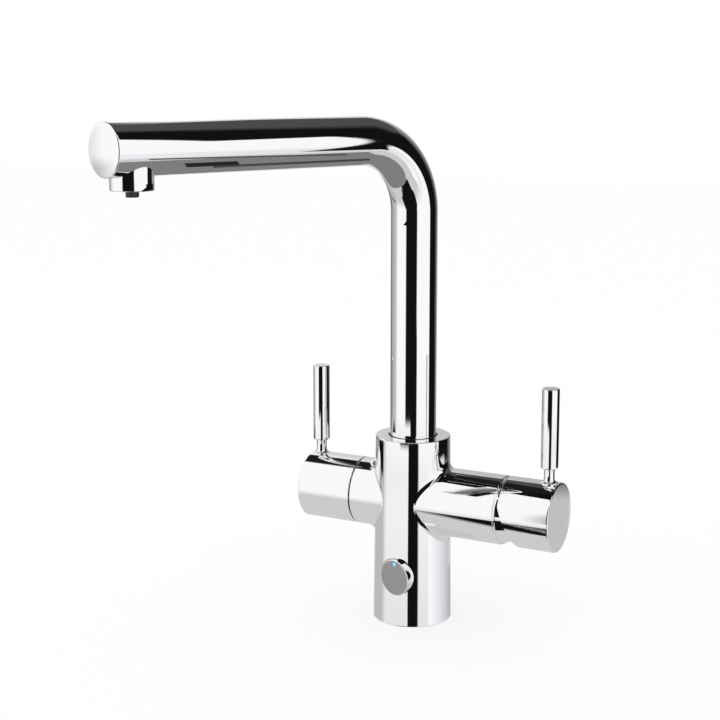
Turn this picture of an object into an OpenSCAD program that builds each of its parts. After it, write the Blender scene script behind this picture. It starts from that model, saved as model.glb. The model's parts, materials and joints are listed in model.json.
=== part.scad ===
// Boiling water tap: swivel spout, single-lever mixer, quarter-turn filter lever, lit push button.
// Z is up from the worktop, the arms lie along X, and the front of the tap faces -Y.
// Every length is in millimetres and every angle is in degrees.

/* [Body] */
// Diameter of the body at the worktop
base_d = 55; // [54:0.5:60]
// Diameter of the body at its top
top_d = 52; // [50:0.5:54]
// Height of the body
body_h = 130.5; // [130:0.5:150]
// Diameter of both arms and both hubs
arm_d = 47; // [46:0.5:50]
// Height of the arms' axis above the worktop
arm_z = 85.5; // [78:0.5:87]
// End of the mixer arm, from the body's axis
mixer_arm_l = 69.5; // [66:0.5:80]
// End of the filter arm, from the body's axis
filter_arm_l = 38.2; // [37:0.2:50]
// Radius of the blend between the body and both arms
blend_r = 5; // [3:0.5:6]

/* [Spout] */
// Outside diameter of the spout tube
tube_d = 32; // [30:0.5:34]
// Wall of the spout tube
tube_wall = 1.5; // [1:0.1:2]
// Height of the spout's centreline
spout_z = 335; // [315:1:365]
// End of the spout, from the body's axis
spout_reach = 245; // [225:1:270]
// Bend radius of the spout's centreline
bend_r = 49; // [40:1:60]
// Angle at which the spout stands, from straight ahead towards -X
spout_turn = 20.2; // [0:0.1:60]
// Swivel to each side of straight ahead
swivel_side = 70; // [60:1:75]
// Thickness of the end cap
cap_t = 3; // [2:0.5:5]

/* [Nozzle] */
// Diameter of the nozzle collar
nozzle_d = 25.8; // [24:0.2:27]
// Nozzle axis back from the end of the spout
nozzle_back = 18.5; // [16:0.5:30]
// Bottom of the nozzle collar below the spout's centreline
nozzle_drop = 23.5; // [22:0.5:30]
// Diameter of the inner nozzle for the boiling water
jet_d = 7.8; // [7:0.1:9]
// How far the inner nozzle stands out below the collar
jet_proud = 3.9; // [2:0.1:6]
// Height of the spanner flats on the collar
flat_h = 4.2; // [2:0.2:6]
// Depth of the spanner flats
flat_deep = 1; // [0.4:0.1:1.2]

/* [Mixer] */
// Length of the mixer hub
mixer_hub_l = 36.2; // [34:0.2:44]
// Gap between the mixer arm and its hub
mixer_gap = 2.5; // [2.2:0.1:4]
// Diameter of the mixer cartridge
cartridge_d = 35; // [34:0.2:36]
// Largest tilt of the mixer lever
tilt_max = 22; // [15:1:23]
// Mixer lever axis from the hub's outer face
mixer_lever_in = 7.7; // [6.5:0.1:10]
// Height at which the relief starts, above the arm's axis
relief_top = 9; // [6:0.5:11]

/* [Filter valve] */
// Length of the filter hub
filter_hub_l = 40.5; // [38:0.1:48]
// Gap between the filter arm and its hub
filter_gap = 0.8; // [0.4:0.1:1.2]
// Diameter of the filter valve where it screws in
valve_d = 20.6; // [20:0.2:21]
// Filter lever axis from the hub's outer face
filter_lever_in = 6.8; // [6.5:0.1:10]

/* [Levers] */
// Diameter of a lever's grip
grip_d = 11.8; // [10:0.2:12.8]
// Length of a lever's grip
grip_l = 54.5; // [40:0.5:80]
// Diameter of a lever's neck
neck_d = 7.2; // [6.4:0.2:8]
// Length of a lever's neck between hub and grip
neck_l = 9.5; // [6:0.5:14]
// Radius of the flare where a neck stands on its hub
flare_r = 2.4; // [1:0.1:2.4]
// Diameter of the stud at both ends of the neck
stud_d = 5; // [4:0.5:5.5]

/* [Button] */
// Diameter of the button
button_d = 25.2; // [23:0.2:27]
// Height of the button's axis
button_z = 35.3; // [30:0.1:40]
// How far the middle of its face stands out from the body
button_proud = 2.2; // [2:0.1:4]
// Turn of the button's slanted face towards -X
button_slant = 18.5; // [0:0.5:20]
// Travel of the button
button_travel = 1.5; // [0.5:0.1:2]
// Diameter of the status light
light_d = 2.6; // [1.6:0.2:3]

/* [Underside] */
// Diameter of the fixing stud's hole
fixing_d = 8; // [6:0.5:9]
// Depth of the fixing stud's hole
fixing_depth = 16; // [10:1:20]
// Pitch circle of the three tail inlets
tail_pcd = 26; // [25:0.5:28]
// Diameter of a tail inlet
tail_d = 9; // [8:0.2:9.6]
// Depth of a tail inlet's thread
tail_depth = 12; // [8:1:18]
// Diameter of the button cable's hole
cable_d = 5; // [3:0.5:6]

/* [Hidden] */
$fn = 96;

// Clearances: shaft fits, loose fits, gaps between moving skins, cut overrun
fit = 0.06;
ease = 0.2;
skin_gap = 0.4;
run_gap = 0.3;
over = 1;
edge = 0.8;
fine_edge = 0.4;

// Radii of the main forms
base_r = base_d / 2;
top_r = top_d / 2;
arm_r = arm_d / 2;
tube_r = tube_d / 2;
bore_r = tube_r - tube_wall;
nozzle_r = nozzle_d / 2;
jet_r = jet_d / 2;
neck_r = neck_d / 2;
grip_r = grip_d / 2;
stud_r = stud_d / 2;
button_r = button_d / 2;
tail_r = tail_d / 2;
fixing_r = fixing_d / 2;

// Blend between the body and an arm: its steps, how far its edges stand proud, and how deep it is rooted
blend_steps = 48;
blend_arcs = 5;
blend_proud = 0.03;
blend_root = 1.5;
blend_reach = arm_r + blend_r + blend_proud;

// Spout socket in the top of the body
socket_depth = 30.5;
mouth_depth = 8.5;
bush_wall = 1.3;
socket_land = 1;
socket_r = tube_r - socket_land;
mouth_r = tube_r + bush_wall;
socket_floor = body_h - socket_depth;
mouth_floor = body_h - mouth_depth;
seat_depth = 4;

// Glide washer under the spigot's collar, and bush round the tube
washer_t = 0.5;
bush_sink = 0.2;
bush_lift = 2.8;

// Spigot on the foot of the spout
spigot_lift = 0.8;
spigot_bore_r = 11;
collar_t = 2;
spigot_up = 13;
collar_in = 0.1;
collar_z = mouth_floor + washer_t + 2 * fit;
tube_foot = collar_z + collar_t;
ring_section = 0.95;
ring_groove_w = 2.4;
ring_deep = 2;
ring_low = 4.2;
ring_high = 17.5;
groove_deep = 2.6;
groove_w = 4.4;
stop_z = socket_floor + 12;
stop_r = 1.9;
stop_ease = 2;

// Screw that limits the swivel
screw_r = 2.5;
screw_recess = 1;
key_r = 1.45;
key_deep = 2.2;

// Boiling water tube inside the spout
hot_r = 4;
hot_wall = 1;
hot_bend_r = 12;
hot_foot_gap = 0.5;
hot_ring_z = 2;
hot_ring_section = 0.7;

// Nozzle
collar_wall = 1.9;
collar_lip = 1;
aerator_t = 4.6;
aerator_gap = 0.1;
aerator_hole_r = 0.95;
aerator_holes = 14;
jet_flange_r = 6.2;
jet_flange_t = 5;
jet_bore_r = 2.6;
flat_turn = 9.5;
tap_hole_share = 0.82;
nozzle_at = spout_reach - nozzle_back;
nozzle_z = spout_z - nozzle_drop;
aerator_z = nozzle_z + collar_lip;
jet_top = aerator_z + aerator_t + ease;

// Spout end cap
cap_plug = 6;
cap_crown = 0.7;
cap_round = 0.9;

// Mixer cartridge, measured outwards along its arm
cartridge_r = cartridge_d / 2;
pocket_depth = 29.5;
nut_depth = 7.5;
nut_wall = 2;
seal_t = 1;
base_t = 3;
disc_t = 4;
carrier_t = 4;
port_r = 2.8;
port_side = 9.6;
port_low = 4;
port_high = 9.2;
housing_wall = 2.1;
housing_neck_r = 15;
turret_r = 12;
turret_flange_t = 2.4;
housing_past = 5;
nut_past = 2.5;
nut_flats = 6;
pocket_x = mixer_arm_l - pocket_depth;
base_x = pocket_x + seal_t;
fixed_x = base_x + base_t;
moving_x = fixed_x + disc_t;
carrier_x = moving_x + disc_t;
turret_x = carrier_x + carrier_t + run_gap;
housing_end = mixer_arm_l + housing_past;
nut_x = mixer_arm_l - nut_depth;
cavity_r = cartridge_r - housing_wall;
moving_r = 12;
moving_low = 2.7;
mixing_r = 7.6;
mixing_deep = 2;

// Ball joint of the mixer lever, all about one pivot
dome_sink = 1;
dome_inset = 1.5;
dome_wall = 1;
dome_open_r = 15;
dome_rim_t = 1;
pivot_x = mixer_arm_l - dome_sink;
dome_r = arm_r - dome_inset;
hub_cavity_r = dome_r + skin_gap;
mixer_hub_x = mixer_arm_l + mixer_gap;
mixer_hub_end = mixer_hub_x + mixer_hub_l;
mixer_lever_x = mixer_hub_end - mixer_lever_in;
pin_r = 2;
spindle_r = 4.6;
spindle_neck_r = 2.1;
ball_r = 2.8;
ball_down = 13.5;
shank_down = 9;
spindle_out = 27.5;
slot_half = 9;
turret_ring_up = 7;

// Relief that frees the hub's lower rim when the lever tilts
relief_angle = 21;

// Quarter-turn filter valve, measured outwards along its arm
valve_depth = 22.2;
valve_r = valve_d / 2;
valve_ease = 0.1;
valve_wall = 1.5;
valve_seal_t = 1.6;
valve_disc_t = 3;
valve_disc_r = 8.4;
valve_moving_r = 8;
valve_flange_t = 3;
valve_hex_r = 13.6;
valve_hex_t = 4.5;
valve_hex_off = 0.3;
valve_neck_r = 8;
valve_neck_t = 7;
valve_spindle_r = 4;
valve_port_r = 2.3;
valve_port_side = 4;
valve_port_up = 2.5;
valve_ring_section = 0.65;
valve_ring_x = 34;
clip_t = 1;
clip_r = 6;
clip_deep = 0.8;
valve_x = filter_arm_l - valve_depth;
valve_fixed_x = valve_x + valve_seal_t;
valve_moving_x = valve_fixed_x + valve_disc_t;
valve_flange_x = valve_moving_x + valve_disc_t + fit;
valve_hex_x = filter_arm_l + valve_hex_off;
valve_end = valve_hex_x + valve_hex_t + valve_neck_t;
filter_hub_x = filter_arm_l + filter_gap;
filter_hub_end = filter_hub_x + filter_hub_l;
filter_lever_x = filter_hub_end - filter_lever_in;
filter_hub_wall = 3;
filter_web = 16;
filter_web_x = filter_hub_end - filter_web;
filter_spindle_in = 8;

// Lever neck studs and grub screws
stud_in = 9;
stud_up = 9;
seat_in = 0.7;
neck_seat = 0.5;
flare_rim = 0.15;
flare_sink = 1.5;
grip_round = 1.1;
grub_r = 2.5;
grub_l = 9;
grub_back = 13;

// Button and its switch
bore_gap = 0.3;
face_in = 0.7;
face_t = 1.2;
cap_back = 18.6;
cap_floor = 22;
cap_wall = 1.4;
button_pocket = 11;
switch_r = 10.6;
switch_back = 11.2;
switch_front = 16.4;
switch_hole_r = 4.2;
plunger_r = 3.9;
plunger_back = 13.4;
light_up = 9.6;
switch_ring_section = 1.1;
body_r_at_button = base_r - (base_r - top_r) * button_z / body_h;
face_y = body_r_at_button + button_proud;
button_bore_r = button_r + bore_gap;

// Passages in the casting
way_r = 3;
mixed_x = 9.5;
jet_way_r = 2.3;

// Seal under the base
seal_in = 1.6;
seal_w = 2.8;
seal_h = 2.3;
seal_ease = 0.2;

// A solid rod and a ring on the local Z axis, each given by its two ends
module rod(from, to, r) {
    translate([0, 0, from])
        cylinder(h = to - from, r = r);
}

module ring(from, to, outer, inner) {
    difference() {
        rod(from, to, outer);
        rod(from - over, to + over, inner);
    }
}

// A round seal: its centre circle and its section
module o_ring(centre_r, section) {
    rotate_extrude()
        translate([centre_r, 0])
            circle(r = section, $fn = 24);
}

// Local Z runs outwards along an arm: side 1 is the mixer arm, side -1 the filter arm
module on_arm(side) {
    translate([0, 0, arm_z])
        rotate([0, side * 90, 0])
            children();
}

// Local Z runs out of the front of the body along the button's axis
module on_button() {
    translate([0, 0, button_z])
        rotate([90, 0, 0])
            children();
}

// Local X runs along the spout as it stands
module on_spout() {
    rotate([0, 0, -90 - spout_turn])
        children();
}

// Threaded grub screw with a hexagonal key hole, pointing along -Z from its head at z = 0
module grub(r, length) {
    difference() {
        rod(-length, 0, r);
        translate([0, 0, -key_deep])
            cylinder(h = key_deep + over, r = key_r, $fn = 6);
    }
}

// Places of the three ports of the mixer, seen along its arm: hot, cold and mixed
mixer_ports = [[port_low, port_side], [port_low, -port_side], [-port_high, 0]];

// Places of the two ports of the filter valve: inlet and outlet
valve_ports = [[-valve_port_up, -valve_port_side], [valve_port_up, valve_port_side]];

// Tail inlets: hot at the back, cold at the front right, filtered at the front left
tail_angles = [90, -30, 210];

module ports(places, from, to, r) {
    for (p = places)
        translate([p[0], p[1], 0])
            rod(from, to, r);
}

// Outline of the tapered body with broken edges
module body_form() {
    rotate_extrude()
        polygon([
            [0, 0], [base_r - fine_edge, 0], [base_r, fine_edge],
            [top_r, body_h - edge], [top_r - edge, body_h], [0, body_h]
        ]);
}

// A rod with rounded rims
module rounded_rod(from, to, r, low, high) {
    rotate_extrude() {
        polygon([
            [0, from], [r - low, from], [r, from + low],
            [r, to - high], [r - high, to], [0, to]
        ]);
        translate([r - low, from + low])
            circle(r = low);
        translate([r - high, to - high])
            circle(r = high);
    }
}

module arm_form(length) {
    rod(0, length - fine_edge, arm_r);
    translate([0, 0, length - fine_edge])
        cylinder(h = fine_edge, r1 = arm_r, r2 = arm_r - fine_edge);
}

// A ball rolls round the corner between the body and the mixer arm: its centre at each angle round the arm
function unit(v) = v / norm(v);
function body_r_at(z) = base_r - (base_r - top_r) * z / body_h;
function ball_y(turn) = blend_reach * cos(turn);
function ball_z(turn) = arm_z + blend_reach * sin(turn);
function ball_out(turn) = body_r_at(ball_z(turn)) + blend_r + blend_proud;
function ball_x(turn) = sqrt(pow(ball_out(turn), 2) - pow(ball_y(turn), 2));
function ball(turn) = [ball_x(turn), ball_y(turn), ball_z(turn)];

// From the ball's centre straight to the body and to the arm, and all the ways between
function to_body(turn) = unit([-ball_x(turn), -ball_y(turn), 0]);
function to_arm(turn) = [0, -cos(turn), -sin(turn)];
function spread(turn) = acos(to_body(turn) * to_arm(turn));
function between(turn, share) =
    unit(to_body(turn) * sin((1 - share) * spread(turn)) + to_arm(turn) * sin(share * spread(turn)));

// One section of the blend: its hollow arc, and then its root inside the arm and the body
function blend_section(turn, arcs) = concat(
    [for (k = [0 : arcs]) ball(turn) + blend_r * between(turn, k / arcs)],
    [ball(turn) + (blend_r + blend_root) * to_arm(turn)],
    [ball(turn) + (2 * blend_r - blend_root) * between(turn, 1 / 2)],
    [ball(turn) + (blend_r + blend_root) * to_body(turn)]
);

module arm_blend() {
    steps = round(blend_steps);
    arcs = round(blend_arcs);
    row = arcs + 4;
    points = [for (i = [0 : steps - 1]) each blend_section(i * 360 / steps, arcs)];
    faces = [
        for (i = [0 : steps - 1])
            for (k = [0 : row - 1])
                let (a = i * row + k)
                let (b = i * row + (k + 1) % row)
                let (c = (i + 1) % steps * row + (k + 1) % row)
                let (d = (i + 1) % steps * row + k)
                each [[a, b, c], [a, c, d]]
    ];
    polyhedron(points, faces);
}

module spout_socket() {
    rod(socket_floor, body_h, socket_r);
    rod(mouth_floor, body_h + over, mouth_r);
    rod(socket_floor - seat_depth, socket_floor + over, hot_r + fit);
    translate([0, 0, stop_z])
        rotate([-90, 0, 0])
            rod(0, top_r + arm_r, screw_r + fit);
}

module mixer_pocket() {
    rod(pocket_x, mixer_arm_l + over, cartridge_r + ease);
    rod(nut_x, mixer_arm_l + over, cartridge_r + nut_wall);
}

module valve_pocket() {
    rod(valve_x, filter_arm_l + over, valve_r + valve_ease);
}

// Drilled waterways: tails up to the cartridges, and from these to the spout socket
module waterways() {
    for (a = tail_angles)
        rotate([0, 0, a])
            translate([tail_pcd / 2, 0, 0]) {
                rod(-over, tail_depth, tail_r);
                rod(0, arm_z - port_low, way_r);
            }
    on_arm(1) {
        translate([port_low, port_side, 0])
            rod(0, pocket_x + over, way_r);
        translate([port_low, -port_side, 0])
            rod(tail_pcd / 2 * cos(30), pocket_x + over, way_r);
        translate([-port_high, 0, 0])
            rod(mixed_x, pocket_x + over, way_r);
    }
    translate([mixed_x, 0, 0])
        rod(arm_z + port_high, socket_floor + over, way_r);
    on_arm(-1) {
        translate([valve_ports[0][0], valve_ports[0][1], 0])
            rod(tail_pcd / 2 * cos(30), valve_x + over, jet_way_r);
        translate([valve_ports[1][0], valve_ports[1][1], 0])
            rod(0, valve_x + over, jet_way_r);
    }
    translate([0, valve_port_side, 0])
        rod(arm_z + valve_port_up, socket_floor - seat_depth + over, jet_way_r);
}

module body_casting() {
    color([0.86, 0.87, 0.89])
    difference() {
        union() {
            body_form();
            on_arm(1) arm_form(mixer_arm_l);
            on_arm(-1) arm_form(filter_arm_l);
            arm_blend();
            mirror([1, 0, 0]) arm_blend();
        }
        spout_socket();
        on_arm(1) mixer_pocket();
        on_arm(-1) valve_pocket();
        waterways();
        on_button() rod(button_pocket, base_r + over, button_bore_r);
        translate([0, -button_pocket - button_r / 2, 0])
            rod(-over, button_z - button_r / 2, cable_d / 2);
        rod(-over, fixing_depth, fixing_r);
        ring(-over, seal_h + seal_ease, base_r - seal_in, base_r - seal_in - seal_w);
    }
}

module base_seal_ring() {
    color([0.12, 0.12, 0.13])
    ring(0, seal_h, base_r - seal_in - seal_ease, base_r - seal_in - seal_w + seal_ease);
}

// Swivel stop: its tip runs in the spigot's groove
module spout_stop_screw() {
    tip = socket_r - groove_deep + stop_ease / 2;
    body_end = top_r - (top_r - base_r) * (body_h - stop_z) / body_h - screw_recess;
    color([0.55, 0.56, 0.58])
    translate([0, 0, stop_z])
        rotate([-90, 0, 0]) {
            rod(tip, socket_r + over, stop_r);
            translate([0, 0, body_end])
                grub(screw_r, body_end - socket_r - ease);
        }
}

module spout_glide_washer() {
    color([0.93, 0.93, 0.9])
    ring(mouth_floor, mouth_floor + washer_t, mouth_r - ease, socket_r + ease);
}

module spout_glide_bush() {
    color([0.16, 0.16, 0.17])
    ring(mouth_floor + bush_lift, body_h - bush_sink, mouth_r - fit, tube_r + fit);
}

// Round profile cut by the stop groove only over the swivel's own arc
module spout_spigot() {
    half = asin((stop_r + stop_ease / 2) / (socket_r - groove_deep));
    reach = swivel_side + half;
    color([0.82, 0.66, 0.36])
    difference() {
        union() {
            rod(socket_floor + spigot_lift, collar_z, socket_r - fit);
            rod(collar_z, tube_foot, tube_r - collar_in);
            rod(tube_foot, tube_foot + spigot_up, bore_r - fit);
        }
        rod(socket_floor, tube_foot + spigot_up + over, spigot_bore_r);
        for (z = [ring_low, ring_high])
            translate([0, 0, socket_floor + z])
                ring(-ring_groove_w / 2, ring_groove_w / 2, socket_r + over, socket_r - ring_deep);
        translate([0, 0, stop_z - groove_w / 2])
            rotate([0, 0, 90 - spout_turn - reach])
                rotate_extrude(angle = 2 * reach)
                    translate([socket_r - groove_deep, 0])
                        square([groove_deep + over, groove_w]);
    }
}

module spout_o_rings() {
    color([0.1, 0.1, 0.11])
    for (z = [ring_low, ring_high])
        translate([0, 0, socket_floor + z])
            o_ring(socket_r - ring_deep + ring_section + fit / 2, ring_section);
}

// Straight, bend and straight along the spout's centreline, for a tube of any radius
module spout_path(r, foot, bend, end) {
    rod(foot, spout_z - bend, r);
    translate([bend, 0, spout_z - bend])
        rotate([90, 0, 0])
            rotate([0, 0, 90])
                rotate_extrude(angle = 90)
                    translate([bend, 0])
                        circle(r = r);
    translate([0, 0, spout_z])
        rotate([0, 90, 0])
            rod(bend, end, r);
}

module spout_tube() {
    color([0.87, 0.88, 0.9])
    on_spout()
        difference() {
            spout_path(tube_r, tube_foot, bend_r, spout_reach - cap_t);
            rod(tube_foot - over, tube_foot + over, bore_r);
            spout_path(bore_r, tube_foot, bend_r, spout_reach - cap_t + over);
            translate([nozzle_at, 0, 0])
                rod(nozzle_z, spout_z, nozzle_r * tap_hole_share);
        }
}

module spout_end_cap() {
    color([0.87, 0.88, 0.9])
    on_spout()
        translate([spout_reach, 0, spout_z])
            rotate([0, 90, 0])
                rotate_extrude()
                    polygon([
                        [0, cap_crown], [tube_r / 2, cap_crown * 3 / 4],
                        [tube_r - cap_round, 0], [tube_r, -cap_round],
                        [tube_r, -cap_t], [bore_r - fit, -cap_t],
                        [bore_r - fit, -cap_t - cap_plug], [bore_r - cap_t, -cap_t - cap_plug],
                        [bore_r - cap_t, -cap_t], [0, -cap_t]
                    ]);
}

module nozzle_collar() {
    color([0.87, 0.88, 0.9])
    on_spout()
        difference() {
            translate([nozzle_at, 0, 0])
                rod(nozzle_z, spout_z - tube_r / 4, nozzle_r);
            translate([nozzle_at, 0, 0])
                rod(nozzle_z - over, spout_z, nozzle_r - collar_wall);
            translate([0, 0, spout_z])
                rotate([0, 90, 0])
                    rod(0, spout_reach, tube_r + fit);
            for (side = [0, 180])
                translate([nozzle_at, 0, nozzle_z - over])
                    rotate([0, 0, 90 + flat_turn + side])
                        translate([nozzle_r - flat_deep, -nozzle_r, 0])
                            cube([nozzle_r, nozzle_d, flat_h + over]);
        }
}

module flow_straightener() {
    hole_circle = (nozzle_r - collar_wall + jet_r) / 2;
    color([0.9, 0.9, 0.9])
    on_spout()
        translate([nozzle_at, 0, 0])
            difference() {
                ring(aerator_z, aerator_z + aerator_t, nozzle_r - collar_wall - aerator_gap,
                     jet_r + aerator_gap);
                for (i = [0 : aerator_holes - 1])
                    rotate([0, 0, i * 360 / aerator_holes])
                        translate([hole_circle, 0, 0])
                            rod(aerator_z - over, aerator_z + aerator_t + over, aerator_hole_r);
            }
}

module nozzle_insert() {
    color([0.08, 0.08, 0.09])
    on_spout()
        translate([nozzle_at, 0, 0])
            difference() {
                union() {
                    rod(nozzle_z - jet_proud, jet_top + over, jet_r);
                    rod(jet_top, jet_top + jet_flange_t, jet_flange_r);
                }
                rod(nozzle_z - jet_proud - over, jet_top + jet_flange_t, jet_bore_r);
                rod(jet_top + over, jet_top + jet_flange_t + over, hot_r + fit);
            }
}

// Swept along the spout, then turned down into the inner nozzle
module hot_path(r, foot, drop) {
    spout_path(r, foot, bend_r, nozzle_at - hot_bend_r);
    translate([nozzle_at - hot_bend_r, 0, spout_z - hot_bend_r])
        rotate([90, 0, 0])
            rotate_extrude(angle = 90)
                translate([hot_bend_r, 0])
                    circle(r = r);
    translate([nozzle_at, 0, 0])
        rod(drop, spout_z - hot_bend_r, r);
}

module hot_water_tube() {
    foot = socket_floor - seat_depth + hot_foot_gap;
    drop = jet_top + over + ease;
    color([0.75, 0.76, 0.78])
    on_spout()
        difference() {
            hot_path(hot_r, foot, drop);
            hot_path(hot_r - hot_wall, foot - over, drop - over);
            translate([0, 0, foot + hot_ring_z])
                ring(-hot_ring_section, hot_ring_section, hot_r + over, hot_r - hot_ring_section);
        }
}

module hot_tube_o_ring() {
    color([0.1, 0.1, 0.11])
    translate([0, 0, socket_floor - seat_depth + hot_foot_gap + hot_ring_z])
        o_ring(hot_r - hot_ring_section / 2, hot_ring_section / 2);
}

module mixer_base_seal() {
    color([0.1, 0.1, 0.11])
    on_arm(1)
        difference() {
            rod(pocket_x, base_x, cartridge_r - edge);
            ports(mixer_ports, pocket_x - over, base_x + over, port_r);
        }
}

module mixer_cartridge_base() {
    color([0.2, 0.2, 0.22])
    on_arm(1)
        difference() {
            rod(base_x, fixed_x, cartridge_r);
            ports(mixer_ports, base_x - over, fixed_x + over, port_r);
        }
}

module mixer_fixed_disc() {
    color([0.95, 0.94, 0.9])
    on_arm(1)
        difference() {
            rod(fixed_x, moving_x, cavity_r - ease);
            ports(mixer_ports, fixed_x - over, moving_x + over, port_r);
        }
}

// Its hollow face joins the ports as it slides and turns over the fixed disc
module mixer_moving_disc() {
    color([0.9, 0.88, 0.83])
    on_arm(1)
        translate([moving_low, 0, 0])
            difference() {
                rod(moving_x, carrier_x, moving_r);
                rod(moving_x - over, moving_x + mixing_deep, mixing_r);
            }
}

module mixer_disc_carrier() {
    color([0.85, 0.86, 0.88])
    on_arm(1)
        difference() {
            translate([moving_low, 0, 0])
                rod(carrier_x, carrier_x + carrier_t, moving_r);
            rod(carrier_x - over, carrier_x + carrier_t + over, ball_r + run_gap);
        }
}

module mixer_cartridge_housing() {
    color([0.2, 0.2, 0.22])
    on_arm(1)
        difference() {
            union() {
                rod(fixed_x, nut_x, cartridge_r);
                rod(nut_x, housing_end, housing_neck_r);
            }
            rod(fixed_x - over, turret_x + turret_flange_t + ease, cavity_r);
            rod(fixed_x, housing_end + over, turret_r + fit);
        }
}

module mixer_turret() {
    color([0.85, 0.86, 0.88])
    on_arm(1)
        difference() {
            union() {
                rod(turret_x, turret_x + turret_flange_t, cavity_r - ease);
                rod(turret_x, housing_end, turret_r);
            }
            translate([-slot_half, -spindle_r - ease, turret_x - over])
                cube([2 * slot_half, 2 * (spindle_r + ease), housing_end - turret_x + 2 * over]);
            translate([0, 0, pivot_x])
                rotate([90, 0, 0])
                    rod(-turret_r - over, turret_r + over, pin_r + fit);
            translate([0, 0, turret_x + turret_ring_up])
                ring(-ring_groove_w / 2, ring_groove_w / 2, turret_r + over,
                     turret_r - hot_ring_section * 2);
        }
}

module mixer_turret_o_ring() {
    color([0.1, 0.1, 0.11])
    on_arm(1)
        translate([0, 0, turret_x + turret_ring_up])
            o_ring(turret_r - hot_ring_section, hot_ring_section);
}

module mixer_pivot_pin() {
    half = sqrt(turret_r * turret_r - pin_r * pin_r) - ease;
    color([0.7, 0.71, 0.73])
    on_arm(1)
        translate([0, 0, pivot_x])
            rotate([90, 0, 0])
                rod(-half, half, pin_r);
}

// Shank, neck and ball turn about the pin, and the ball drives the moving disc
module mixer_spindle() {
    color([0.82, 0.66, 0.36])
    on_arm(1)
        difference() {
            union() {
                rod(pivot_x - shank_down, pivot_x + spindle_out, spindle_r);
                rod(pivot_x - ball_down, pivot_x - shank_down + over, spindle_neck_r);
                translate([0, 0, pivot_x - ball_down])
                    sphere(r = ball_r, $fn = 48);
            }
            translate([0, 0, pivot_x])
                rotate([90, 0, 0])
                    rod(-spindle_r - over, spindle_r + over, pin_r + fit);
        }
}

module mixer_retaining_nut() {
    color([0.82, 0.66, 0.36])
    on_arm(1)
        difference() {
            union() {
                rod(nut_x, mixer_arm_l, cartridge_r + nut_wall - ease);
                translate([0, 0, mixer_arm_l])
                    cylinder(h = nut_past, r = cartridge_r, $fn = nut_flats);
            }
            rod(nut_x - over, mixer_arm_l + nut_past + over, housing_neck_r + ease);
        }
}

module mixer_dome_cover() {
    top = pivot_x + sqrt(dome_r * dome_r - dome_open_r * dome_open_r);
    color([0.88, 0.89, 0.91])
    on_arm(1)
        difference() {
            union() {
                intersection() {
                    translate([0, 0, pivot_x]) sphere(r = dome_r);
                    rod(mixer_arm_l, top + over, dome_r + over);
                }
                rod(mixer_arm_l, mixer_arm_l + dome_rim_t, arm_r - fine_edge);
            }
            translate([0, 0, pivot_x]) sphere(r = dome_r - dome_wall);
            rod(pivot_x, top + dome_r, dome_open_r);
        }
}

// Half-space below a slanted plane that starts on the hub's inner face, above the axis
module relief_cut() {
    rise = 2 * arm_r;
    rotate([90, 0, 0])
        translate([0, 0, -arm_r - over])
            linear_extrude(height = arm_d + 2 * over)
                polygon([
                    [-relief_top, mixer_hub_x - over],
                    [-relief_top, mixer_hub_x],
                    [-relief_top + rise, mixer_hub_x + rise * tan(relief_angle)],
                    [-relief_top + rise, mixer_hub_x - over]
                ]);
}

// Outer form of a hub, with both rims rounded
module hub_form(from, to) {
    rounded_rod(from, to, arm_r, fine_edge, edge);
}

// Bores of a lever's stud and seat, and of the grub screw behind, for a lever on the local -X or +X side
module lever_bores(up, at, spindle) {
    translate([0, 0, at])
        rotate([0, up * 90, 0]) {
            rod(arm_r - stud_in - ease, arm_r + over, stud_r + fit);
            rod(arm_r - seat_in, arm_r + over, neck_r + fit);
        }
    translate([0, 0, spindle])
        rotate([-90, 0, 0])
            rod(0, arm_r + over, grub_r + fit);
}

module mixer_hub() {
    color([0.88, 0.89, 0.91])
    on_arm(1)
        difference() {
            hub_form(mixer_hub_x, mixer_hub_end);
            translate([0, 0, pivot_x]) sphere(r = hub_cavity_r);
            rod(pivot_x, pivot_x + spindle_out + ease, spindle_r + fit);
            lever_bores(-1, mixer_lever_x, mixer_hub_end - grub_back);
            relief_cut();
        }
}

// The neck flares out to a thin rim that sits on the hub
module neck_flare() {
    foot = arm_r + flare_rim;
    difference() {
        rod(arm_r - flare_sink, foot + flare_r, neck_r + flare_r);
        rotate_extrude()
            translate([neck_r + flare_r, foot + flare_r])
                circle(r = flare_r);
        rotate([0, 90, 0])
            rod(-arm_r, arm_r, arm_r + fit / 2);
    }
}

module lever_neck() {
    rod(arm_r - stud_in, arm_r - neck_seat, stud_r);
    rod(arm_r - neck_seat, arm_r + neck_l, neck_r);
    rod(arm_r + neck_l, arm_r + neck_l + stud_up, stud_r);
    neck_flare();
}

module lever_grip() {
    foot = arm_r + neck_l;
    difference() {
        rounded_rod(foot, foot + grip_l, grip_r, grip_round, edge);
        rod(foot - over, foot + stud_up + ease, stud_r + fit);
    }
}

module mixer_lever_neck() {
    color([0.82, 0.83, 0.85])
    translate([mixer_lever_x, 0, arm_z]) lever_neck();
}

module mixer_lever_grip() {
    color([0.88, 0.89, 0.91])
    translate([mixer_lever_x, 0, arm_z]) lever_grip();
}

module mixer_grub_screw() {
    color([0.4, 0.41, 0.43])
    translate([mixer_hub_end - grub_back, 0, arm_z])
        rotate([-90, 0, 0])
            translate([0, 0, spindle_r + fit + grub_l])
                grub(grub_r, grub_l);
}

module filter_valve_seal() {
    color([0.1, 0.1, 0.11])
    on_arm(-1)
        difference() {
            rod(valve_x, valve_fixed_x, valve_disc_r);
            ports(valve_ports, valve_x - over, valve_fixed_x + over, valve_port_r);
        }
}

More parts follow.
